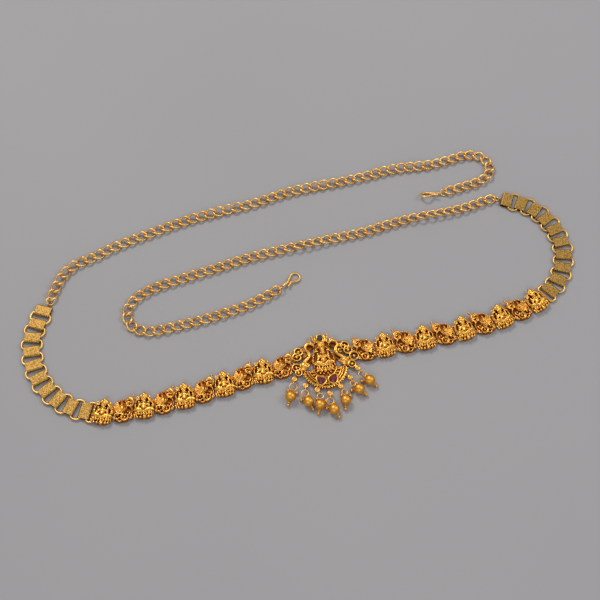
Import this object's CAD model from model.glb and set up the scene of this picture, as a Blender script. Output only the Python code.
"""Looks of the waist belt, in Blender: cast gold plaques and pendant, smooth chains, stones."""
import math

import bpy
import numpy as np
from mathutils import Matrix, Vector
from mathutils.bvhtree import BVHTree


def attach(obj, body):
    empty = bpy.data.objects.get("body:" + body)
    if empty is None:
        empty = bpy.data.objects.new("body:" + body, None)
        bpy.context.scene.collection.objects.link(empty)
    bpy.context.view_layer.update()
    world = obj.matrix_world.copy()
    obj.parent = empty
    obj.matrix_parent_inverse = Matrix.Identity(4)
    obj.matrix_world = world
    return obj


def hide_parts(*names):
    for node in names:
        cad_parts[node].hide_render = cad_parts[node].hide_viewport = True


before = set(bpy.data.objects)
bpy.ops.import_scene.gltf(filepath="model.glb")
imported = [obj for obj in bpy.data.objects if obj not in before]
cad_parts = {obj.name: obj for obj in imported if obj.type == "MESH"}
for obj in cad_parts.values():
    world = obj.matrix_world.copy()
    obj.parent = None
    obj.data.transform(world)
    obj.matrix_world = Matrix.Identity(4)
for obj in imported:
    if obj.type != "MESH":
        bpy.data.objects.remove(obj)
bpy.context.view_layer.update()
scene = bpy.context.scene
MM = 0.001
# Size of the smallest detail in a casting, and about how many triangles each casting has
DETAIL = 0.11
FIGURE_FACES, PEACOCK_FACES, PENDANT_FACES = 17000, 16000, 130000
# Rays that look how open a point lies: their number and reach, how far off the surface they
# start, how far they lean towards its normal, and how open a hit at full reach counts
RAYS = 28
RAY_REACH, RAY_LIFT, RAY_LEAN, HIT_SHARE = 2.6, 0.04, 1.02, 0.6

# Layout, repeated from the part's source, in millimetres

BELT_MIDDLE = np.array([1.7, 13.7])
BELT_ROUTE = [
    (-153, -7), (-157.5, -25), (-155, -42), (-146.5, -57), (-132, -68),
    (-113, -72), (-89.5, -68.5), (-66.5, -62.5), (-44, -55), (-22, -47), (14, -38),
    (50, -30), (74, -25), (97.5, -19), (120.5, -11), (142, 0), (156, 14),
    (161, 33), (157, 49.5), (148.5, 61.2), (139.3, 67.2), (129.5, 70.5)]
LEFT_ROUTE = [
    (-147, 8), (-143, 17), (-136, 24.5), (-126, 29.5), (-112, 37.5),
    (-92, 46.5), (-71.5, 55), (-52, 61), (-29, 68), (-7.5, 76), (18, 82), (41, 88),
    (59, 93), (80, 96), (98, 101.5), (106, 104), (114.5, 103), (120, 97),
    (119, 89), (112.5, 84), (103, 80.4), (90.4, 76.2)]
RIGHT_ROUTE = [
    (116.5, 70.5), (111, 68), (100.5, 64), (87.5, 61), (75, 58.5), (57, 53.5),
    (40, 47.5), (17.5, 42), (-8.5, 35.5), (-30, 29.5), (-51, 22), (-72, 14.5),
    (-83, 10.5), (-92, 6), (-99.5, 0), (-103, -8.5), (-99.5, -17), (-91, -20.5),
    (-82, -19.5), (-73, -17), (-55, -12), (-34.5, -4.5), (-24.5, 0.5), (-12, 8)]
# Distance along a chain, and the turn of its links there in degrees
LEFT_ROLL = [
    (0, 0), (23, 25), (30, 0), (92, 0), (126, 34), (138, 0), (160, 0), (190, 32),
    (202, 0), (215, 0), (250, 35), (264, 0), (400, 0)]
RIGHT_ROLL = [(0, 0), (14, 0), (46, 34), (60, 0), (100, 0), (126, 28), (138, 0), (400, 0)]

SIDES = ("left", "right")
PLAQUES = 10
PLAQUE_START = {"left": 91.6, "right": 93.6}
PLAQUE_PITCH = {"left": 11.85, "right": 12.1}
PLAQUE_TURN = {"left": -8, "right": 1.5}
LUG_REACH, JUMP_R, JUMP_ACROSS = 4.85, 2.25, {"left": 1.8, "right": 1.2}
LINK_A, LINK_B, LINK_TWIST, LINK_WIRE, LINK_PITCH = 3.666, 2.725, 44, 1.26, 5.65
CHAIN_START, CHAIN_FINISH = 3.95, {"left": 3.95, "right": 3.6}
PENDANT_AT, PENDANT_ACROSS, PENDANT_TURN = 222.5, -2, -4
LINK_ROWS, PENDANT_ROWS = (-3.2, 3), {"left": (2.6, 5), "right": (0.9, 3.3)}


def spline(points, steps=6, closed=False):
    """A smooth curve through points of any number of columns."""
    p = np.array(points, float)
    if closed:
        ends = [p[-1], *p, p[0], p[1]]
    else:
        ends = [2 * p[0] - p[1], *p, 2 * p[-1] - p[-2]]
    out = []
    for a, b, c, d in zip(ends, ends[1:], ends[2:], ends[3:]):
        for t in np.arange(steps) / steps:
            out.append(0.5 * (2 * b + (c - a) * t + (2 * a - 5 * b + 4 * c - d) * t**2
                              + (3 * b - a - 3 * c + d) * t**3))
    if not closed:
        out.append(p[-1])
    return np.array(out)


class Track:
    """A smooth route, measured by the distance along it."""

    def __init__(self, route):
        self.points = spline(np.array(route, float) - BELT_MIDDLE, steps=12)
        steps = np.linalg.norm(np.diff(self.points, axis=0), axis=1)
        self.distance = np.concatenate([[0], np.cumsum(steps)])
        self.length = self.distance[-1]

    def at(self, s):
        return np.array([np.interp(s, self.distance, self.points[:, k]) for k in (0, 1)])

    def heading(self, s):
        ahead = self.at(s + 1) - self.at(s - 1)
        return math.atan2(ahead[1], ahead[0])


def place(point, turn, height=0.0):
    """A move in the row frame, in millimetres."""
    return Matrix.Translation((point[0], point[1], height)) @ Matrix.Rotation(turn, 4, "Z")


belt = Track(BELT_ROUTE)


def side_sign(side):
    """1 on the side where the belt's distance starts, and -1 on the other."""
    return 1 if side == "left" else -1


def from_end(side, s):
    """Distance along the belt of a point at s from a side's end."""
    return s if side == "left" else belt.length - s


def on_belt(s, turn=0.0):
    """A move to the distance s, with +X along the belt."""
    return place(belt.at(s), belt.heading(s) + math.radians(turn))


def plaque_at(side, i):
    """Distance along the belt of a side's plaque i, counted from the side's end."""
    return from_end(side, PLAQUE_START[side] + i * PLAQUE_PITCH[side])


def joint_at(side, i):
    """Distance along the belt of the joint after plaque i."""
    return plaque_at(side, i) + side_sign(side) * PLAQUE_PITCH[side] / 2


def jump_place(side):
    """Middle of the jump ring between a side's outermost book plate and its chain."""
    beyond = -side_sign(side) * (LUG_REACH + JUMP_R)
    spot = on_belt(from_end(side, 0)) @ Vector((beyond, JUMP_ACROSS[side], 0))
    return spot.x, spot.y


tracks = {
    side: Track([np.array(jump_place(side)) + BELT_MIDDLE, *route])
    for side, route in (("left", LEFT_ROUTE), ("right", RIGHT_ROUTE))}
pendant_place = on_belt(PENDANT_AT, PENDANT_TURN) @ Matrix.Translation((0, PENDANT_ACROSS, 0))

# Simple forms


class Shape:
    """Points and faces of a piece, in millimetres, built up from simple closed forms."""

    def __init__(self):
        self.points = []
        self.faces = []

    def add(self, points, faces):
        base = len(self.points)
        self.points.extend(tuple(float(x) for x in p) for p in points)
        self.faces.extend(tuple(base + k for k in f) for f in faces)

    def skin(self, rings, closed=False):
        """A skin over rings of points, capped at its ends unless closed."""
        n, m = len(rings[0]), len(rings)
        faces = []
        for i in range(m if closed else m - 1):
            j = (i + 1) % m
            for k in range(n):
                q = (k + 1) % n
                faces.append((i * n + k, i * n + q, j * n + q, j * n + k))
        if not closed:
            faces.append(tuple(range(n - 1, -1, -1)))
            faces.append(tuple(range((m - 1) * n, m * n)))
        self.add([p for ring in rings for p in ring], faces)

    def ball(self, centre, radii, turn=0, sides=14, rows=9):
        """A ball, or an egg with three radii that is turned about the vertical."""
        rx, ry, rz = (radii,) * 3 if np.isscalar(radii) else radii
        c, s = math.cos(math.radians(turn)), math.sin(math.radians(turn))
        rings = []
        for i in range(rows):
            tilt = math.pi * (i + 0.5) / rows - math.pi / 2
            ring = []
            for k in range(sides):
                a = 2 * math.pi * k / sides
                x, y = rx * math.cos(tilt) * math.cos(a), ry * math.cos(tilt) * math.sin(a)
                ring.append((centre[0] + x * c - y * s, centre[1] + x * s + y * c,
                             centre[2] + rz * math.sin(tilt)))
            rings.append(ring)
        self.skin(rings)

    def tube(self, path, radius, sides=10, closed=False, steps=6):
        """A round bar along a smooth path. Its radius is one number, or one for each point."""
        p = np.array(path, float)
        r = np.full(len(p), radius, float) if np.isscalar(radius) else np.array(radius, float)
        curve = spline(np.column_stack([p, r]), steps, closed)
        p, r = curve[:, :3], curve[:, 3]
        if closed:
            ahead = np.roll(p, -1, 0) - np.roll(p, 1, 0)
        else:
            ahead = np.gradient(p, axis=0)
        ahead /= np.linalg.norm(ahead, axis=1)[:, None]
        rings = []
        for point, way, size in zip(p, ahead, r):
            out = np.cross(way, (0, 0, 1))
            if np.linalg.norm(out) < 1e-3:
                out = np.array((1.0, 0, 0))
            out /= np.linalg.norm(out)
            up = np.cross(out, way)
            a = 2 * np.pi * np.arange(sides) / sides
            rings.append(point + size * (np.outer(np.cos(a), out) + np.outer(np.sin(a), up)))
        self.skin(rings, closed)
        if not closed:
            for k in (0, -1):
                self.ball(p[k], r[k], sides=10, rows=7)

    def arc(self, centre, r, first, sweep, wire, height, sides=10):
        """A bar along a level arc, or a whole ring where it sweeps 360 degrees."""
        count = max(4, int(sweep / 25) + 1)
        angles = np.radians(first + sweep * np.arange(count + 1) / count)
        path = [(centre[0] + r * math.cos(a), centre[1] + r * math.sin(a), height) for a in angles]
        if sweep >= 360:
            self.tube(path[:-1], wire, sides, closed=True, steps=3)
        else:
            self.tube(path, wire, sides, steps=3)

    def ring(self, move, r, wire, around=24, sides=10):
        """A round ring, laid out by a move from its own level plane."""
        rings = []
        for i in range(around):
            a = 2 * math.pi * i / around
            rings.append([move @ Vector((
                (r + wire * math.cos(b)) * math.cos(a), (r + wire * math.cos(b)) * math.sin(a),
                wire * math.sin(b))) for b in 2 * np.pi * np.arange(sides) / sides])
        self.skin(rings, closed=True)

    def slab(self, outline, low, high, round_edge=0.25):
        """A flat plate with a rounded upper edge."""
        p = np.array(outline, float)
        if np.cross(np.roll(p, -1, 0) - p, np.roll(p, -2, 0) - np.roll(p, -1, 0)).sum() < 0:
            p = p[::-1]
        middle = p.mean(0)
        reach = np.linalg.norm(p - middle, axis=1).mean()
        levels = [(1, low), (1, high - round_edge),
                  (1 - 0.3 * round_edge / reach, high - 0.3 * round_edge), (1 - round_edge / reach, high)]
        self.skin([[(*(middle + (q - middle) * k), z) for q in p] for k, z in levels])

    def join(self, other):
        """Adds another shape, with its points in single precision as a mesh has them."""
        self.add([Vector(p) for p in other.points], other.faces)

    def mirrored(self):
        other = Shape()
        other.add([(-x, y, z) for x, y, z in self.points], [f[::-1] for f in self.faces])
        return other


def new_mesh(name, shape):
    mesh = bpy.data.meshes.new(name)
    mesh.from_pydata([tuple(x * MM for x in p) for p in shape.points], [], shape.faces)
    mesh.validate()
    mesh.update()
    mesh.polygons.foreach_set("use_smooth", [True] * len(mesh.polygons))
    return mesh


TO_MILLIMETRES = Matrix.Diagonal((1 / MM, 1 / MM, 1 / MM, 1))
TO_METRES = Matrix.Diagonal((MM, MM, MM, 1))


def put(name, mesh, material, matrix=None, replaces=()):
    """A piece of the belt in the scene, riding on the belt. The matrix is in millimetres."""
    piece = bpy.data.objects.new(name, mesh)
    scene.collection.objects.link(piece)
    if matrix is not None:
        piece.matrix_world = TO_METRES @ matrix @ TO_MILLIMETRES
    if not mesh.materials:
        mesh.materials.append(material)
    bpy.context.view_layer.update()
    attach(piece, "root")
    if replaces:
        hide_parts(*replaces)


def cast(name, shape, faces):
    """One closed casting from overlapping forms, brought to about so many triangles."""
    piece = bpy.data.objects.new(name, new_mesh(name, shape))
    scene.collection.objects.link(piece)
    remesh = piece.modifiers.new("Remesh", "REMESH")
    remesh.mode = "VOXEL"
    remesh.voxel_size = DETAIL * MM
    remesh.use_smooth_shade = True
    soften = piece.modifiers.new("Soften", "SMOOTH")
    soften.factor = 0.5
    soften.iterations = 2
    count = len(flat_mesh(piece).loop_triangles)
    thin = piece.modifiers.new("Thin", "DECIMATE")
    thin.ratio = min(1, faces / count)
    mesh = flat_mesh(piece)
    mesh.name = name
    bpy.data.objects.remove(piece)
    mesh.polygons.foreach_set("use_smooth", [True] * len(mesh.polygons))
    shade_recesses(mesh)
    return mesh


def flat_mesh(piece):
    """The piece's mesh with its modifiers applied."""
    graph = bpy.context.evaluated_depsgraph_get()
    mesh = bpy.data.meshes.new_from_object(piece.evaluated_get(graph))
    mesh.calc_loop_triangles()
    return mesh


def shade_recesses(mesh):
    """Stores how open each point lies, from 0 in a deep recess to 1 on a high spot."""
    count = len(mesh.vertices)
    points = np.empty(count * 3)
    normals = np.empty(count * 3)
    mesh.vertices.foreach_get("co", points)
    mesh.vertex_normals.foreach_get("vector", normals)
    points, normals = points.reshape(-1, 3), normals.reshape(-1, 3)
    mesh.calc_loop_triangles()
    tree = BVHTree.FromPolygons([Vector(p) for p in points],
                                [tuple(t.vertices) for t in mesh.loop_triangles])
    k = np.arange(RAYS) + 0.5
    polar, around = np.arccos(1 - 2 * k / RAYS), np.pi * (1 + 5**0.5) * k
    ball = np.column_stack([np.cos(around) * np.sin(polar), np.sin(around) * np.sin(polar), np.cos(polar)])
    reach = RAY_REACH * MM
    openness = np.empty(count)
    for i in range(count):
        normal = normals[i]
        start = Vector(points[i] + normal * RAY_LIFT * MM)
        total = 0.0
        for way in ball + normal * RAY_LEAN:
            way /= np.linalg.norm(way)
            hit = tree.ray_cast(start, Vector(way), reach)
            total += 1.0 if hit[0] is None else HIT_SHARE * hit[3] / reach
        openness[i] = total / RAYS
    layer = mesh.attributes.new("openness", "FLOAT", "POINT")
    layer.data.foreach_set("value", openness)


# Materials


class Value:
    """A shader socket that takes part in sums."""

    def __init__(self, finish, socket):
        self.finish = finish
        self.socket = socket

    def maths(self, operation, *others):
        return self.finish.node("Math", {"operation": operation}, dict(enumerate((self, *others))))

    def __add__(self, other):
        return self.maths("ADD", other)

    def __mul__(self, other):
        return self.maths("MULTIPLY", other)

    def __sub__(self, other):
        return self.maths("SUBTRACT", other)

    def __rsub__(self, other):
        return self * -1 + other

    def step(self, low, high):
        """0 below low and 1 above high, smooth between."""
        settings = {"interpolation_type": "SMOOTHSTEP"}
        return self.finish.node("MapRange", settings, {0: self, 1: low, 2: high})


class Finish:
    """One material: its node tree, and what feeds its surface shader."""

    def __init__(self, name, **constants):
        self.material = bpy.data.materials.new(name)
        self.material.use_nodes = True
        self.tree = self.material.node_tree
        self.surface = self.tree.nodes["Principled BSDF"]
        for socket, value in constants.items():
            self.surface.inputs[socket.replace("_", " ")].default_value = value
        self.place = self.node("TexCoord", output="Object")

    def node(self, kind, settings=None, sockets=None, output=0):
        node = self.tree.nodes.new("ShaderNode" + kind)
        for key, value in (settings or {}).items():
            setattr(node, key, value)
        for key, value in (sockets or {}).items():
            self.feed(node.inputs[key], value)
        return Value(self, node.outputs[output])

    def feed(self, socket, value):
        if isinstance(value, Value):
            self.tree.links.new(value.socket, socket)
        else:
            socket.default_value = value

    def drive(self, **values):
        """Feeds sockets of the surface shader."""
        for socket, value in values.items():
            self.feed(self.surface.inputs[socket.replace("_", " ")], value)

    def mix(self, factor, low, high):
        """A colour between two colours."""
        return self.node("Mix", {"data_type": "RGBA"}, {0: factor, 6: low, 7: high}, output=2)

    def noise(self, scale, detail=2.0):
        sockets = {"Vector": self.place, "Scale": scale, "Detail": detail}
        return self.node("TexNoise", sockets=sockets)

    def bump(self, height, distance, strength):
        sockets = {"Height": height, "Distance": distance, "Strength": strength}
        return self.node("Bump", sockets=sockets)


def gold(name, low, high, roughness):
    """Plain gold that varies a little between two colours."""
    finish = Finish(name, Metallic=1.0)
    cloud = finish.noise(180, 3).step(0.3, 0.7)
    finish.drive(Base_Color=finish.mix(cloud, (*low, 1), (*high, 1)),
                 Roughness=finish.noise(420) * 0.12 + (roughness - 0.06))
    return finish.material


DEEPEST = (0.035, 0.009, 0.002, 1)
STIPPLE_DARK, STIPPLE_LIGHT = (0.24, 0.125, 0.024, 1), (0.50, 0.30, 0.085, 1)


def cast_gold(name, recess, high):
    """Antique cast gold: bright on the high spots, red-brown in the recesses."""
    finish = Finish(name)
    cloud = finish.noise(700, 4)
    openness = finish.node("Attribute", {"attribute_name": "openness"}, output="Fac")
    height = finish.node("SeparateXYZ", sockets={"Vector": finish.place}, output="Z")
    openness = openness * (height.step(0.0013, 0.0029) * 0.55 + 0.45) + (cloud - 0.5) * 0.14
    grime = finish.mix(openness.step(0.11, 0.44), DEEPEST, (*recess, 1))
    finish.drive(Base_Color=finish.mix(openness.step(0.38, 0.74), grime, (*high, 1)),
                 Roughness=0.56 - openness.step(0.3, 0.85) * 0.26,
                 Metallic=openness.step(0.1, 0.45) * 0.4 + 0.6,
                 Normal=finish.bump(finish.noise(2600, 3), 0.00006, 0.5))
    return finish.material


def brushed_gold():
    """Gold sheet with a fine stippled surface."""
    finish = Finish("brushed_gold", Metallic=1.0, Roughness=0.5)
    stipple = finish.noise(1500, 3)
    finish.drive(Base_Color=finish.mix(stipple.step(0.34, 0.62), STIPPLE_DARK, STIPPLE_LIGHT),
                 Normal=finish.bump(stipple, 0.00025, 0.8))
    return finish.material


def glass(name, colour):
    """A cut stone, deep in colour."""
    finish = Finish(name, Roughness=0.3, Metallic=0.0, Coat_Weight=0.1, Coat_Roughness=0.12)
    cloud = finish.noise(500).step(0.3, 0.7)
    dark = tuple(0.35 * c for c in colour)
    finish.drive(Base_Color=finish.mix(cloud, (*dark, 1), (*colour, 1)))
    return finish.material


CAST = cast_gold("cast_gold", (0.36, 0.10, 0.011), (0.88, 0.46, 0.085))
CAST_DEEP = cast_gold("cast_gold_deep", (0.34, 0.09, 0.01), (0.78, 0.37, 0.07))
BRUSHED = brushed_gold()
POLISHED = gold("polished_gold", (0.80, 0.43, 0.10), (0.91, 0.58, 0.20), 0.40)
BEAD = gold("bead_gold", (0.72, 0.34, 0.045), (0.86, 0.44, 0.072), 0.46)
RED = glass("red_glass", (0.18, 0.006, 0.022))
GREEN = glass("green_glass", (0.035, 0.042, 0.02))

# Plaques, in millimetres: x across, y up, z towards the eye


def figure_plaque():
    """A seated figure with raised hands under a pointed canopy, on a lotus seat."""
    s = Shape()
    s.slab([(-5.2, -5.6), (-1.8, -6.9), (2.4, -6.9), (5.2, -5.4), (5.5, -1), (5.4, 3.2), (3.4, 5.8),
            (0.2, 7.6), (-3.2, 6), (-5.4, 3.4), (-5.5, -1)], 0, 1.7, 0.3)
    # Lotus seat: a row of petals, and the balls under it
    for k in range(7):
        s.ball((-4.5 + 1.5 * k, -4.2 - 0.35 * math.cos((k - 3) / 2), 2.95), (0.74, 1.05, 0.85), sides=10)
    for x, y, r in ((0.3, -6.2, 1.3), (2.6, -6.1, 0.9), (-2.0, -6.3, 0.85), (4.3, -5.9, 0.75),
                    (-3.8, -6.2, 0.7)):
        s.ball((x, y, 2.5), r)
    # Crossed legs with folds of cloth
    for way in (-1, 1):
        s.tube([(way * 5.0, -2.0, 2.7), (way * 3.4, -1.7, 3.3), (way * 1.2, -2.8, 3.6),
                (-way * 0.8, -3.4, 3.3)], [1.15, 1.3, 1.05, 0.7])
        for k in range(3):
            x = way * (2.0 + 1.1 * k)
            s.tube([(x, -1.0 - 0.1 * k, 3.9), (x - way * 0.5, -2.1, 4.5), (x - way * 0.9, -3.1, 3.6)], 0.22,
                   sides=8, steps=4)
        s.ball((way * 1.2, -3.5, 3.7), (1.0, 0.65, 0.7), way * 20)
        s.ball((way * 3.2, -3.1, 3.1), (1.3, 0.7, 0.7), way * 15)
        # Arms, hands and the flowers they hold
        s.tube([(way * 1.5, 1.5, 3.2), (way * 2.9, 0.2, 3.0), (way * 2.7, 1.9, 3.5)], [0.62, 0.55, 0.5])
        s.tube([(way * 1.6, 1.3, 3.2), (way * 3.3, -0.5, 3.1), (way * 3.9, -1.5, 3.4)], [0.55, 0.5, 0.45])
        s.ball((way * 2.75, 2.35, 3.6), (0.62, 0.75, 0.55))
        for turn in (-50, 0, 50):
            a = math.radians(90 + turn)
            s.ball((way * 3.3 + 0.75 * math.cos(a), 3.7 + 0.75 * math.sin(a), 3.0), (0.4, 0.65, 0.45), turn,
                   sides=10)
        # Curled border at the side
        s.tube([(way * 5.2, -5.3, 1.7), (way * 5.45, -3.4, 2.0), (way * 5.1, -1.6, 1.8),
                (way * 5.45, 0.4, 2.0), (way * 5.2, 2.4, 1.9), (way * 4.6, 4.4, 2.0)],
               [0.3, 0.4, 0.3, 0.4, 0.34, 0.3], sides=8)
        for y in (-4.3, 1.5, 3.3):
            s.ball((way * 5.35, y, 2.2), 0.42, sides=9, rows=7)
        # Pillar and arch of the niche, with its beads
        s.tube([(way * 4.9, -1.0, 2.3), (way * 4.9, 1.4, 2.4), (way * 4.6, 3.4, 2.5), (way * 3.4, 5.2, 2.6),
                (way * 2.3, 5.9, 2.7)], 0.42)
        for k in range(4):
            a = math.radians(6 + 15 * k)
            s.ball((way * 4.5 * math.cos(a), 1.9 + 4.2 * math.sin(a), 3.0), 0.45, sides=9, rows=7)
        s.ball((way * 4.9, -0.2, 2.8), 0.55, sides=10)
    # Body, necklace, head, crown
    s.ball((0, -0.6, 2.9), (1.75, 1.5, 1.25))
    s.ball((0, 1.0, 3.1), (1.85, 1.25, 1.15))
    s.arc((0, 1.9), 1.2, 200, 140, 0.2, 4.15, sides=8)
    s.tube([(-1.5, -0.9, 3.8), (0, -1.2, 4.2), (1.5, -0.9, 3.8)], 0.24, sides=8)
    s.ball((0, 2.95, 3.75), (1.2, 1.4, 1.2))
    for way in (-1, 1):
        s.ball((way * 0.45, 3.15, 4.85), (0.2, 0.1, 0.12), sides=8, rows=5)
        s.ball((way * 1.25, 2.5, 3.7), 0.38, sides=9, rows=7)
    s.ball((0, 2.85, 4.95), (0.14, 0.3, 0.2), sides=8, rows=5)
    s.ball((0, 2.35, 4.75), (0.3, 0.1, 0.15), sides=8, rows=5)
    s.ball((0.2, 6.0, 3.0), (2.45, 2.0, 1.35))
    s.tube([(0.2, 6.8, 3.2), (0.25, 7.9, 2.9), (0.3, 8.9, 2.6)], [1.55, 0.85, 0.3])
    s.ball((0.2, 5.3, 4.0), (1.05, 0.95, 0.7))
    for way in (-1, 1):
        s.tube([(0.2 + way * 0.9, 4.5, 3.7), (0.2 + way * 1.75, 5.6, 3.8), (0.2 + way * 1.2, 7.0, 3.7),
                (0.25, 8.2, 3.2)], [0.2, 0.34, 0.3, 0.2], sides=8)
    s.arc((0, 3.1), 1.5, 30, 120, 0.3, 4.2, sides=8)
    # Scroll, slanted rod and strokes of the border
    s.arc((-3.6, 5.2), 0.75, 20, 260, 0.3, 2.9, sides=8)
    s.tube([(2.6, 4.7, 3.3), (3.8, 2.9, 3.4)], 0.6)
    s.tube([(3.3, 6.4, 2.3), (4.5, 4.6, 2.3)], 0.4)
    for x in (-5.7, -4.5):
        s.tube([(x - 0.1, -4.0, 2.5), (x + 0.2, -5.2, 2.7), (x + 0.5, -6.5, 2.5)],
               [0.3, 0.5, 0.36], sides=8)
    return s


def peacock_plaque():
    """A peacock with its head turned back over a scrolled tail, as on the left side."""
    s = Shape()
    s.slab([(-5.3, -5.6), (-2.4, -6.9), (1.6, -6.5), (3.6, -5.2), (5.2, -4.4), (5.3, -1), (5.4, 1.8),
            (5.8, 4.8), (5.0, 7.0), (2.2, 7.2), (-2.6, 6.4), (-5.0, 4.4), (-5.6, 0.5), (-5.4, -3)],
           0, 1.7, 0.3)
    # Crest, neck and head
    s.tube([(5.0, 5.6, 2.7), (5.2, 7.0, 2.8), (5.4, 8.3, 2.8)], 0.42)
    s.ball((5.5, 8.7, 2.8), 0.9)
    s.tube([(1.5, 6.2, 2.9), (2.8, 6.9, 3.2), (4.4, 6.6, 3.4), (5.5, 5.2, 3.5), (5.6, 3.7, 3.4),
            (4.7, 2.4, 3.1)], [0.45, 0.75, 0.9, 0.9, 0.75, 0.45])
    s.tube([(2.2, 5.7, 3.2), (3.4, 6.0, 3.4), (4.4, 5.2, 3.5), (4.6, 4.0, 3.4)], 0.25, sides=8)
    s.arc((3.1, 3.5), 1.25, 30, 300, 0.4, 3.3)
    s.ball((2.7, 3.3, 3.3), 0.7)
    s.tube([(3.6, 2.2, 3.0), (4.6, 1.2, 2.9), (5.0, 0.2, 2.6)], [0.5, 0.4, 0.3])
    # Border balls
    for x, y, r in ((-0.1, 6.3, 0.72), (-2.5, 5.6, 0.72), (-0.9, 3.9, 0.68), (-4.7, 0.55, 0.82),
                    (2.6, -1.0, 0.6), (-4.9, -4.9, 0.85), (-3.4, -5.3, 0.8), (-4.2, 3.6, 0.6),
                    (1.2, 5.2, 0.5)):
        s.ball((x, y, 2.75), (r, r, r * 0.95))
    # Wing: a domed body with fans of feathers
    s.ball((-1.3, 1.0, 2.3), (3.0, 2.7, 1.2))
    for k in range(5):
        r = 1.0 + 0.72 * k
        s.arc((-0.9, 1.7), r, 150 - 6 * k, 150, 0.26 if k % 2 else 0.36, 3.65 - 0.26 * k, sides=8)
    for k in range(5):
        a = math.radians(150 + 32 * k)
        s.ball((-0.9 + 4.3 * math.cos(a), 1.7 + 4.1 * math.sin(a), 2.6), 0.42, sides=9, rows=7)
    for k in range(3):
        s.tube([(-1.9 + 1.1 * k, -1.5 + 0.5 * k, 3.1), (-0.4 + 1.0 * k, 0.5, 3.8),
                (0.2 + 0.9 * k, 2.3, 3.3)], [0.2, 0.34, 0.2], sides=8)
    # Scrolled tail with a ball in it
    s.arc((0.8, -4.2), 2.0, 100, 330, 0.42, 2.9)
    s.arc((0.8, -4.2), 1.35, 60, 250, 0.22, 2.7, sides=8)
    s.ball((0.9, -4.2, 2.5), 0.78)
    s.tube([(2.6, -3.2, 2.8), (3.7, -2.2, 2.9), (3.9, -0.8, 2.8)], [0.4, 0.45, 0.3])
    s.tube([(4.2, -5.0, 1.9), (5.0, -3.9, 2.2), (4.6, -2.4, 2.1), (5.1, -0.8, 2.2), (4.6, 0.4, 2.3)],
           [0.3, 0.4, 0.3, 0.36, 0.3], sides=8)
    s.tube([(3.2, -5.6, 1.9), (3.9, -4.4, 2.2), (4.1, -3.0, 2.0)], [0.3, 0.4, 0.25], sides=8)
    s.tube([(-5.2, -1.6, 1.9), (-5.5, 0.2, 2.1), (-5.2, 2.2, 2.1), (-4.7, 3.9, 2.1)],
           [0.3, 0.36, 0.36, 0.3], sides=8)
    s.arc((-1.8, -5.6), 1.1, 100, 250, 0.34, 2.5, sides=8)
    s.arc((-3.9, -2.9), 1.0, -30, 270, 0.36, 2.8, sides=8)
    s.ball((-3.9, -2.9, 2.6), 0.45, sides=9)
    return s


EYELET_R, EYELET_WIRE, EYELET_OFFSET, LINK_HEIGHT = 0.7, 0.25, 0.35, 1.15
EYELET_POST, EYELET_POST_R = (0.65, 3.2), 0.42


def eyelet_row(s, upright, rows, into):
    """The two eyelets of one plaque that link it to its neighbour."""
    way = -1 if upright else 1
    for across in rows:
        move = on_belt(s) @ Matrix.Translation((way * EYELET_OFFSET, across, LINK_HEIGHT))
        turn = Matrix.Rotation(math.pi / 2 if upright else 0, 4, "X")
        into.ring(move @ turn, EYELET_R, EYELET_WIRE, 20, 8)
        post = [move @ Vector((way * x, 0, 0)) for x in EYELET_POST]
        into.tube([tuple(p) for p in post], EYELET_POST_R, sides=8)


links = Shape()
for side in SIDES:
    for i in range(PLAQUES):
        rows = LINK_ROWS if i < PLAQUES - 1 else PENDANT_ROWS[side]
        for upright in (False, True):
            eyelet_row(joint_at(side, i), upright, rows, links)

figure_mesh = cast("figure_plaque", figure_plaque(), FIGURE_FACES)
peacock_shape = peacock_plaque()
peacock_meshes = {
    "left": cast("peacock_plaque_left", peacock_shape, PEACOCK_FACES),
    "right": cast("peacock_plaque_right", peacock_shape.mirrored(), PEACOCK_FACES)}
# Figures and peacocks take turns, and both are numbered from left to right
for side in SIDES:
    for n in range(1, PLAQUES // 2 + 1):
        i = 2 * n - 2 if side == "left" else PLAQUES - 2 * n
        put(f"figure_plaque_{side}_{n}", figure_mesh, CAST,
            on_belt(plaque_at(side, i), PLAQUE_TURN[side]), (f"figure_{side}_{n}",))
        i = 2 * n - 1 if side == "left" else PLAQUES + 1 - 2 * n
        put(f"peacock_plaque_{side}_{n}", peacock_meshes[side], CAST_DEEP,
            on_belt(plaque_at(side, i), PLAQUE_TURN[side]), (f"peacock_{side}_{n}",))
put("plaque_links", new_mesh("plaque_links", links), POLISHED)

# Pendant, in its own frame in millimetres

CRESCENT_MIDDLE = (0, -3.5)
GREEN_PLACE = (0, 14.5)
RED_PLACE, RED_TURN, RED_SIZE = (3.8, -11.6), -38, (4.7, 5.5)
# Across, up, radius
SIDE_LOOPS = {
    "left": [(13.7, 8.1, 2.1), (15.2, 5, 2.1), (16.4, -1.5, 2), (15.6, -5, 1.6)],
    "right": [(13.7, 8.1, 2.1), (15.2, 5, 2.1), (18, 0.6, 2.3), (16, -4.2, 1.8)]}
LOOP_BARS = [
    ((13.6, 4.7), (10.4, 3.6)), ((11.9, 7.4), (8.6, 6.6)), ((15.9, 0.3), (13.2, -0.4)),
    ((14.4, -4.6), (11.2, -5.0)), ((14.6, 9.9), (11.5, 11.3)), ((11.5, 11.3), (8.6, 11.2))]
# Across, up, turn of the ring, ring radius, turn of the bead
DROP_PLACES = [
    (-18.7, -8.6, -108, 2.25, -116), (-13.1, -13.7, -102, 1.95, -67), (-6.8, -17.2, -76, 1.7, -111),
    (0.1, -20.6, -99, 2.05, -64), (6.9, -17.1, -68, 1.6, -103), (13.3, -12.5, -79, 1.5, -44),
    (18.6, -7.3, -66, 2.1, -46)]
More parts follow.
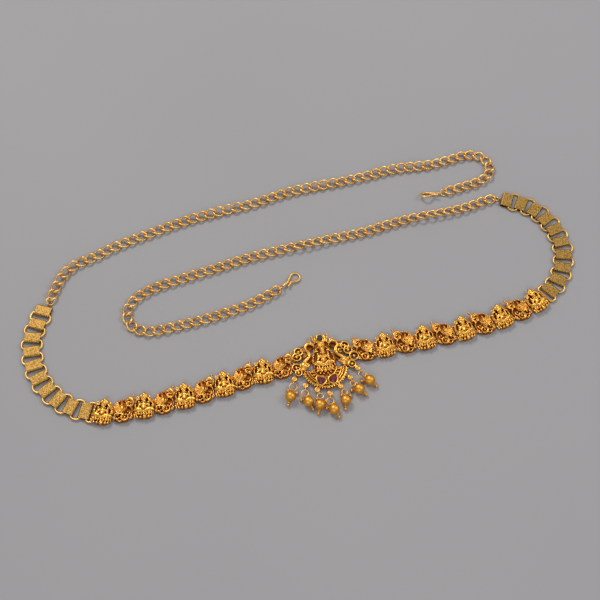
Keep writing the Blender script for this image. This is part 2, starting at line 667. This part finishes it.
# Where each drop's stay leaves the frame
STAY_ROOTS = [(-15.6, -5.6), (-10.6, -11.4), (-5.4, -15.4), (0, -16), (5.4, -15.4),
              (10.6, -11.4), (15.6, -5.6)]
EYE_REACH, DROP_EYE_R, DROP_RING_HEIGHT, BEAD_R, BEAD_REACH = 2.7, 0.95, 2.75, 3.1, 3.85
UPRIGHT = Matrix.Rotation(math.pi / 2, 4, "X")


def toward(turn):
    """The level direction at a turn in degrees from +X."""
    return np.array([math.cos(math.radians(turn)), math.sin(math.radians(turn))])


def on_crescent(r, angle):
    """A point at a distance from the crescent's middle."""
    return tuple(np.array(CRESCENT_MIDDLE) + r * toward(angle))


def crescent_plate(s, inner, outer, first, last, high):
    """The crescent's flat plate, with a rectangular section."""
    rings = []
    for a in np.linspace(first, last, int((last - first) / 6) + 2):
        inside, outside = on_crescent(inner, a), on_crescent(outer, a)
        rings.append([(*inside, 0), (*outside, 0), (*outside, high), (*inside, high)])
    s.skin(rings)


def pear(w, h):
    """Outline of a pear-cut stone, with its point at +Y."""
    out = []
    for t in 2 * np.pi * np.arange(28) / 28:
        out.append((w * 0.62 * math.sin(t) * abs(math.sin(t / 2))**0.9, h / 2 * math.cos(t)))
    return out


def oval(centre, half_width, half_height, step):
    """Points round an upright oval, one for each step in degrees."""
    return [(centre[0] + half_width * math.cos(a), centre[1] + half_height * math.sin(a))
            for a in np.radians(range(0, 360, step))]


def pendant_half(loops):
    """The right half of the pendant's frame: crescent, peacock, side loops."""
    s = Shape()
    # Ground: crescent, niche, peacock's back and the plate above the stones
    crescent_plate(s, 6.2, 13.0, 270, 352, 1.9)
    s.slab([(-0.6, -5.4), (6.4, -4.6), (7.2, 1.5), (5.6, 5.8), (4.6, 9.6), (3.2, 12.6), (-0.6, 12.6)],
           0, 1.7, 0.3)
    s.slab([(6.2, 2.2), (10.5, -2.5), (12.8, -3.6), (12.4, 2.2), (9.4, 5.2), (8.8, 11.4), (4.4, 12.8),
            (4.6, 9.8), (7.2, 8.2)], 0, 1.5, 0.3)
    s.slab([(-0.6, -3.0), (6.5, -3.4), (6.2, -5.5), (4.9, -8.0), (2.6, -9.7), (-0.6, -10.3)], 0, 1.6, 0.1)
    for x, y, r in ((1.2, -7.7, 0.7), (3.1, -7.2, 0.75), (4.8, -5.9, 0.7), (2.0, -9.0, 0.6)):
        s.ball((x, y, 2.1), (r, r, 1.25 * r), sides=10)
    # Ridges and beads of the crescent
    for r, wire, z in ((12.45, 0.34, 2.4), (10.75, 0.34, 2.5), (9.5, 0.3, 2.3), (6.7, 0.32, 2.2)):
        s.tube([(*on_crescent(r, a), z) for a in range(270, 352, 9)], wire, steps=4, sides=8)
    for k in range(12):
        s.ball((*on_crescent(13.2, 272 + 6.8 * k), 2.2), 0.6, sides=10, rows=7)
    for k in range(10):
        s.ball((*on_crescent(11.6, 274 + 7.6 * k), 2.1), (0.4, 0.4, 0.5), sides=8, rows=7)
    for k in range(4):
        a = 300 + 14 * k
        s.tube([(*on_crescent(7.2, a - 4), 2.0), (*on_crescent(8.3, a), 2.7),
                (*on_crescent(9.1, a + 6), 2.1)], [0.3, 0.6, 0.25], sides=8)
    # Setting of the red stone: a thick rim on a plate
    turn = place(RED_PLACE, math.radians(RED_TURN))
    rim = [tuple(turn @ Vector((1.2 * x, 1.18 * y, 2.9))) for x, y in pear(*RED_SIZE)]
    s.tube(rim, 0.5, closed=True, steps=1)
    s.slab([tuple(turn @ Vector((1.28 * x, 1.23 * y, 0)))[:2] for x, y in pear(*RED_SIZE)], 0, 2.0, 0.1)
    # Peacock: body with feathers, neck, head, crest
    s.ball((12.1, -1.4, 1.9), (2.8, 3.0, 1.8))
    s.ball((12.0, -1.2, 2.6), (2.1, 2.2, 1.75))
    for k in range(4):
        s.arc((11.2, 0.6), 1.0 + 0.75 * k, 215, 130, 0.3, 4.05 - 0.28 * k, sides=8)
    for k in range(5):
        a = math.radians(-100 + 34 * k)
        s.ball((12.2 + 3.1 * math.cos(a), -1.5 + 3.2 * math.sin(a), 1.9), 0.55, sides=10)
    s.tube([(11.2, 1.0, 2.6), (8.8, 3.0, 2.9), (7.6, 4.6, 3.1), (7.8, 6.6, 3.1), (9.4, 8.6, 3.1),
            (9.0, 11.0, 3.1), (7.2, 12.0, 3.2), (5.2, 11.3, 3.2)],
           [1.3, 0.95, 0.8, 0.8, 0.95, 0.95, 0.85, 0.75])
    s.tube([(8.6, 3.9, 3.6), (8.5, 5.0, 3.7), (8.7, 6.4, 3.7)], 0.3, sides=8)
    s.ball((5.0, 11.2, 3.2), (1.15, 1.0, 1.0))
    s.tube([(4.6, 10.7, 3.2), (4.4, 9.9, 3.1), (4.7, 9.1, 2.9)], [0.5, 0.36, 0.18], sides=8)
    s.ball((4.9, 11.5, 4.1), 0.26, sides=8, rows=7)
    s.tube([(3.5, 12.0, 2.5), (4.1, 14.2, 2.6), (4.5, 15.8, 2.6)], 0.42)
    s.ball((4.6, 16.3, 2.6), 0.93)
    s.ball((4.1, 14.0, 2.7), 0.55, sides=10)
    s.tube([(5.4, 12.4, 2.6), (6.2, 13.9, 2.6), (7.4, 14.0, 2.5)], [0.4, 0.34, 0.25])
    s.ball((7.6, 13.9, 2.5), 0.45, sides=9)
    # Side loops, each with a ball, a bar and small beads, and the bars that tie them to the peacock
    for x, y, r in loops:
        s.arc((x, y), r + 0.25, 0, 360, 0.42, 2.5)
        s.arc((x, y), r, 0, 360, 0.36, 1.2)
        s.arc((x, y), r, 0, 360, 0.36, 0.5)
        s.ball((x, y, 2.1), 1.0)
        s.tube([(x - r, y - 0.3, 1.2), (x, y, 1.4), (x + r, y + 0.3, 1.2)], 0.4)
        for k in range(4):
            a = math.radians(-80 + 60 * k)
            s.ball((x + (r + 0.25) * math.cos(a), y + (r + 0.25) * math.sin(a), 2.5), 0.42, sides=8, rows=7)
    for a, b in LOOP_BARS:
        s.tube([(*a, 1.1), ((a[0] + b[0]) / 2, (a[1] + b[1]) / 2 + 0.3, 1.3), (*b, 1.1)], 0.5, sides=8)
    s.arc((10.6, 5.4), 1.1, 60, 250, 0.34, 2.4, sides=8)
    s.ball((10.6, 5.4, 2.2), 0.5, sides=9)
    s.arc((11.4, 8.8), 1.0, -60, 280, 0.34, 2.4, sides=8)
    # Niche around the figure: arch with beads
    s.tube([(5.9, -3.2, 2.0), (6.3, 0.2, 2.3), (5.6, 3.4, 2.5), (4.6, 6.0, 2.6), (2.9, 8.4, 2.7),
            (0, 9.4, 2.7)], 0.36, sides=8)
    for k in range(7):
        a = math.radians(-14 + 15 * k)
        s.ball((6.0 * math.cos(a), 2.2 + 6.6 * math.sin(a), 3.0), 0.42, sides=8, rows=7)
    # Leaf beside the green stone
    s.tube([(1.0, 11.8, 2.3), (2.6, 12.9, 2.6), (2.9, 14.8, 2.6), (1.9, 16.9, 2.4)],
           [0.35, 0.6, 0.55, 0.25])
    return s


def pendant_middle():
    """What lies on the pendant's middle line: figure, canopy, stone's setting, drops' settings."""
    s = Shape()
    # Setting of the green stone
    s.slab(oval((0, 14.4), 2.9, 3.0, 20), 0, 1.9, 0.2)
    s.slab(oval(GREEN_PLACE, 2.2, 2.5, 20), 0.5, 2.0, 0.1)
    s.tube([(*p, 3.1) for p in oval(GREEN_PLACE, 1.95, 2.35, 24)], 0.34, closed=True, steps=2, sides=8)
    for p in oval(GREEN_PLACE, 2.5, 2.95, 26):
        s.ball((*p, 2.3), 0.4, sides=8, rows=7)
    # Canopy: a ribbed rosette over the figure
    s.ball((0, 10.3, 2.2), (2.5, 2.3, 1.2))
    for a in range(0, 360, 36):
        c, d = toward(a)
        s.tube([(0.6 * c, 10.3 + 0.6 * d, 3.5), (1.6 * c, 10.3 + 1.5 * d, 3.5),
                (2.4 * c, 10.3 + 2.3 * d, 2.8)], [0.25, 0.42, 0.42], sides=8)
    s.ball((0, 10.3, 3.7), 0.65, sides=10)
    # Seat: lotus petals and beads
    s.slab([(-5.6, -3.8), (5.6, -3.8), (4.6, -6.0), (-4.6, -6.0)], 0.5, 2.6, 0.3)
    for k in range(7):
        s.ball((-4.5 + 1.5 * k, -4.2 - 0.5 * math.cos((k - 3) / 2), 3.0), (0.77, 1.15, 0.9), sides=10)
    for x, y, r in ((0, -6.1, 1.2), (2.2, -5.9, 0.85), (-2.2, -5.9, 0.85), (4.0, -5.5, 0.7),
                    (-4.0, -5.5, 0.7)):
        s.ball((x, y, 2.5), r)
    # Seated figure
    for way in (-1, 1):
        s.tube([(way * 5.3, -1.4, 2.9), (way * 3.5, -1.0, 3.5), (way * 1.2, -2.2, 3.9),
                (-way * 0.8, -3.0, 3.5)], [1.2, 1.35, 1.1, 0.7])
        for k in range(4):
            x = way * (1.8 + 0.95 * k)
            s.tube([(x, -0.4, 4.1), (x - way * 0.4, -1.5, 4.85), (x - way * 0.8, -2.7, 4.1)], 0.22,
                   sides=8, steps=4)
        s.ball((way * 1.3, -3.2, 3.9), (1.05, 0.7, 0.7), way * 20)
        s.ball((way * 3.4, -2.7, 3.2), (1.4, 0.8, 0.8), way * 15)
        s.tube([(way * 1.6, 3.2, 3.6), (way * 3.0, 2.0, 3.4), (way * 2.9, 3.9, 3.9)], [0.68, 0.6, 0.52])
        s.tube([(way * 1.7, 3.0, 3.5), (way * 3.3, 1.0, 3.5), (way * 3.9, -0.2, 3.9)], [0.6, 0.52, 0.45])
        s.ball((way * 2.95, 4.3, 4.0), (0.62, 0.75, 0.55))
        for turn in (-50, 0, 50):
            a = math.radians(90 + turn)
            s.ball((way * 3.4 + 0.8 * math.cos(a), 5.8 + 0.8 * math.sin(a), 3.2), (0.42, 0.68, 0.5), turn,
                   sides=10)
        s.ball((way * 0.5, 5.3, 5.45), (0.2, 0.1, 0.12), sides=8, rows=5)
        s.ball((way * 1.35, 4.6, 4.3), 0.4, sides=9, rows=7)
    s.ball((0, 0.3, 3.3), (1.9, 1.6, 1.4))
    s.ball((0, 2.4, 3.5), (2.0, 1.5, 1.3))
    s.arc((0, 3.7), 1.35, 200, 140, 0.22, 4.75, sides=8)
    s.arc((0, 3.2), 1.9, 210, 120, 0.24, 4.6, sides=8)
    s.tube([(-1.7, 0.2, 4.3), (0, -0.1, 4.75), (1.7, 0.2, 4.3)], 0.26, sides=8)
    s.ball((0, 5.1, 4.3), (1.3, 1.5, 1.25))
    s.ball((0, 5.0, 5.55), (0.15, 0.32, 0.2), sides=8, rows=5)
    s.ball((0, 4.45, 5.3), (0.32, 0.1, 0.15), sides=8, rows=5)
    s.tube([(0, 6.3, 4.4), (0, 7.2, 4.4), (0.05, 8.3, 4.1), (0.1, 9.5, 3.6)], [1.4, 1.35, 0.85, 0.4])
    s.arc((0, 6.4), 1.4, 20, 140, 0.28, 4.9, sides=8)
    # Drops' settings, each with a ball, a rim, an upright eye and a stay
    for (x, y, turn, _, _), root in zip(DROP_PLACES, STAY_ROOTS):
        way = toward(turn)
        eye = np.array([x, y]) + EYE_REACH * way
        s.tube([(x, y, 1.15), (x, y, 1.6), (x, y, 2.3)], [1.1, 1.3, 1.2])
        s.arc((x, y), 1.25, 0, 360, 0.32, 2.75, sides=8)
        s.ball((x, y, 2.55), 0.62)
        for p in oval((x, y), 1.5, 1.5, 60):
            s.ball((*p, 2.0), 0.36, sides=8, rows=7)
        s.ring(place(eye, math.radians(turn), DROP_RING_HEIGHT) @ UPRIGHT, DROP_EYE_R, 0.26)
        near = eye - way * DROP_EYE_R
        s.tube([(x, y, 2.2), ((x + near[0]) / 2, (y + near[1]) / 2, 2.5), (*near, 2.6)], 0.36, sides=8)
        s.tube([(*root, 1.2), ((x + root[0]) / 2, (y + root[1]) / 2, 1.4), (x, y, 1.2)], 0.45, sides=8)
    return s


pendant_shape = pendant_middle()
pendant_shape.join(pendant_half(SIDE_LOOPS["right"]))
pendant_shape.join(pendant_half(SIDE_LOOPS["left"]).mirrored())
pendant_mesh = cast("pendant", pendant_shape, PENDANT_FACES)
put("pendant", pendant_mesh, CAST, pendant_place, ("pendant_frame",))

# Bars from the last plaque's eyelets to the pendant
BAR_ENDS, BAR_R = (1.4, 5.4), 0.5
bars = Shape()
for side in SIDES:
    move = on_belt(joint_at(side, PLAQUES - 1))
    for across in PENDANT_ROWS[side]:
        ends = [move @ Vector((side_sign(side) * x, across, LINK_HEIGHT)) for x in BAR_ENDS]
        bars.tube([tuple(p) for p in ends], BAR_R, sides=8)
put("pendant_bars", new_mesh("pendant_bars", bars), POLISHED)


def drop_shape():
    """A gold bead on a pin along +X: caps, an eye, two small balls at its shoulders, a tail."""
    s = Shape()
    s.ball((0, 0, 0), BEAD_R, sides=40, rows=26)
    for end in (-1, 1):
        for a in range(0, 360, 60):
            c, d = toward(a)
            s.tube([(end * 2.95, 0.3 * c, 0.3 * d), (end * 2.85, 0.7 * c, 0.7 * d),
                    (end * 2.55, 1.3 * c, 1.3 * d)], [0.2, 0.3, 0.2], sides=7, steps=3)
    s.ring(place((-BEAD_REACH, 0), 0, DROP_RING_HEIGHT - BEAD_R) @ UPRIGHT, DROP_EYE_R, 0.25)
    for way in (-1, 1):
        s.tube([(-2.2, 0, -0.9), (-3.6, way * 2.6, -1.8)], 0.28, sides=8)
        s.ball((-3.6, way * 2.55, -1.9), 1.12, sides=18, rows=12)
    s.tube([(2.4, 0, 0), (3.8, 0, -0.7), (4.8, 0, -1.5)], 0.3, sides=8)
    s.ball((3.75, 0, -0.85), 0.72, sides=18, rows=12)
    s.ball((4.95, 0, -1.75), 0.98, sides=18, rows=12)
    return s


drop_mesh = new_mesh("drop", drop_shape())
for i, (x, y, turn, r, bead_turn) in enumerate(DROP_PLACES, 1):
    spot = np.array([x, y]) + (EYE_REACH + 2 * r) * toward(turn) + BEAD_REACH * toward(bead_turn)
    move = pendant_place @ place(spot, math.radians(bead_turn), BEAD_R)
    put(f"bead_drop_{i}", drop_mesh, BEAD, move, (f"drop_{i}",))

# Chains


def link_rings(around=22, sides=9):
    """One curb link as rings of points: an oval of wire, twisted along its length."""
    t = 2 * np.pi * np.arange(around) / around
    twist = np.radians(LINK_TWIST * np.cos(t))
    middle = np.column_stack([LINK_A * np.cos(t), LINK_B * np.sin(t) * np.cos(twist),
                              LINK_B * np.sin(t) * np.sin(twist)])
    ahead = np.roll(middle, -1, 0) - np.roll(middle, 1, 0)
    ahead /= np.linalg.norm(ahead, axis=1)[:, None]
    out = np.cross(ahead, (0, 0, 1))
    out /= np.linalg.norm(out, axis=1)[:, None]
    up = np.cross(out, ahead)
    a = 2 * np.pi * np.arange(sides) / sides
    r = LINK_WIRE / 2
    return [m + r * (np.outer(np.cos(a), o) + np.outer(np.sin(a), u))
            for m, o, u in zip(middle, out, up)]


LINK = link_rings()


def chain(side, rolls):
    """Links at even steps along a side's track, each turned on its length and resting on the table."""
    track = tracks[side]
    room = track.length - CHAIN_FINISH[side] - CHAIN_START
    gaps = round(room / LINK_PITCH)
    stations, turns = zip(*rolls)
    s = Shape()
    for i in range(gaps + 1):
        along = CHAIN_START + i * room / gaps
        turn = Matrix.Rotation(math.radians(np.interp(along, stations, turns)), 4, "X")
        rings = [[turn @ Vector(p) for p in ring] for ring in LINK]
        lift = -min(p.z for ring in rings for p in ring)
        move = place(track.at(along), track.heading(along), lift)
        s.skin([[move @ p for p in ring] for ring in rings], closed=True)
    return s


for side, rolls in (("left", LEFT_ROLL), ("right", RIGHT_ROLL)):
    name = f"curb_chain_{side}"
    put(name, new_mesh(name, chain(side, rolls)), POLISHED,
        replaces=(f"chain_{side}",))

# Rings of the book chain

BOOK_PLATES, BOOK_LENGTH, BOOK_PITCH, BOOK_WIRE, BOOK_HEIGHT = 10, 7, 9.05, 1.25, 2.3
# Half length, half width and corner of the rings between plates, and of the ring at the first plaque
BOOK_RING, END_RING = (3.0, 6.0, 2.6), (2.1, 5.9, 1.5)
END_RING_AT = (BOOK_PLATES - 1) * BOOK_PITCH + BOOK_LENGTH / 2
JUMP_WIRE, JUMP_TILT, JUMP_LIFT = 0.9, 30, 0.01


def wire_frame(s, move, half_along, half_across, corner):
    """A round-cornered ring of wire."""
    path = []
    for quarter, (x, y) in enumerate(((1, 1), (-1, 1), (-1, -1), (1, -1))):
        for k in range(5):
            a = math.radians(90 * quarter + 22.5 * k)
            spot = Vector((x * (half_along - corner) + corner * math.cos(a),
                           y * (half_across - corner) + corner * math.sin(a), BOOK_HEIGHT / 2))
            path.append(tuple(move @ spot))
    s.tube(path, BOOK_WIRE / 2, closed=True, steps=2)


def book_rings(side):
    """The rings of one side's book chain, with the jump ring at its end."""
    s = Shape()
    for i in range(BOOK_PLATES - 1):
        wire_frame(s, on_belt(from_end(side, (i + 0.5) * BOOK_PITCH)), *BOOK_RING)
    wire_frame(s, on_belt(from_end(side, END_RING_AT)), *END_RING)
    tilt = Matrix.Rotation(math.radians(-JUMP_TILT * side_sign(side)), 4, "X")
    height = JUMP_R * math.sin(math.radians(JUMP_TILT)) + JUMP_WIRE / 2 + JUMP_LIFT
    move = place(jump_place(side), belt.heading(from_end(side, 0)), height)
    s.ring(move @ tilt, JUMP_R, JUMP_WIRE / 2)
    return s


for side in SIDES:
    name = f"smooth_book_rings_{side}"
    put(name, new_mesh(name, book_rings(side)), POLISHED,
        replaces=(f"book_rings_{side}",))

# Nodes of the frame that keep their own shape

NODE_FINISHES = {
    "book_plate": BRUSHED, "hook": POLISHED, "drop_rings": POLISHED,
    "red_stone": RED, "green_stone": GREEN}
for name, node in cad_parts.items():
    for start, finish in NODE_FINISHES.items():
        if name.startswith(start):
            for slot in node.material_slots:
                slot.material = finish

# Floor, light and camera

FLOOR_HALF, FLOOR_HEIGHT = 4, -0.02 * MM
FLOOR_DARK, FLOOR_LIGHT = (0.335, 0.325, 0.33, 1), (0.355, 0.345, 0.348, 1)
floor = bpy.data.objects.new("floor", bpy.data.meshes.new("floor"))
floor_corners = [(x * FLOOR_HALF, y * FLOOR_HALF, FLOOR_HEIGHT)
                 for x, y in ((-1, -1), (1, -1), (1, 1), (-1, 1))]
floor.data.from_pydata(floor_corners, [], [(0, 1, 2, 3)])
scene.collection.objects.link(floor)
paper = Finish("paper", Roughness=0.85, Specular_IOR_Level=0.15)
paper.drive(Base_Color=paper.mix(paper.noise(3.0).step(0.2, 0.8), FLOOR_DARK, FLOOR_LIGHT))
floor.data.materials.append(paper.material)

world = bpy.data.worlds.new("studio")
scene.world = world
world.use_nodes = True
sky = world.node_tree.nodes["Background"].inputs
sky["Color"].default_value = (0.93, 0.95, 1, 1)
sky["Strength"].default_value = 0.45

# The camera looks down at the drawing's point (0, 1.1)
VIEW_MIDDLE = Vector((-BELT_MIDDLE[0] * MM, (1.1 - BELT_MIDDLE[1]) * MM, 0))
CAMERA_ANGLE, CAMERA_DISTANCE = math.radians(63), 0.7


def soft_light(name, where, size, power, colour=(1, 1, 1)):
    """A flat lamp that faces the middle of the view."""
    data = bpy.data.lights.new(name, "AREA")
    data.shape = "RECTANGLE"
    data.size, data.size_y = size
    data.energy = power
    data.color = colour
    light = bpy.data.objects.new(name, data)
    light.location = where
    light.rotation_euler = (VIEW_MIDDLE - Vector(where)).to_track_quat("-Z", "Y").to_euler()
    scene.collection.objects.link(light)


soft_light("key", (-0.45, 0.75, 1.1), (0.5, 0.35), 9, (1, 0.97, 0.93))
soft_light("fill", (0.8, 0.1, 0.9), (0.4, 0.6), 3.5)
soft_light("front", (-0.2, -0.9, 0.8), (0.8, 0.3), 2.2)

camera = bpy.data.objects.new("camera", bpy.data.cameras.new("camera"))
camera.data.lens = 70
camera.data.sensor_width = 36
camera.data.clip_start = 0.01
toward_camera = Vector((0, -math.cos(CAMERA_ANGLE), math.sin(CAMERA_ANGLE)))
camera.location = VIEW_MIDDLE + CAMERA_DISTANCE * toward_camera
camera.rotation_euler = (math.pi / 2 - CAMERA_ANGLE, 0, 0)
scene.collection.objects.link(camera)
scene.camera = camera
scene.view_settings.view_transform = "Standard"
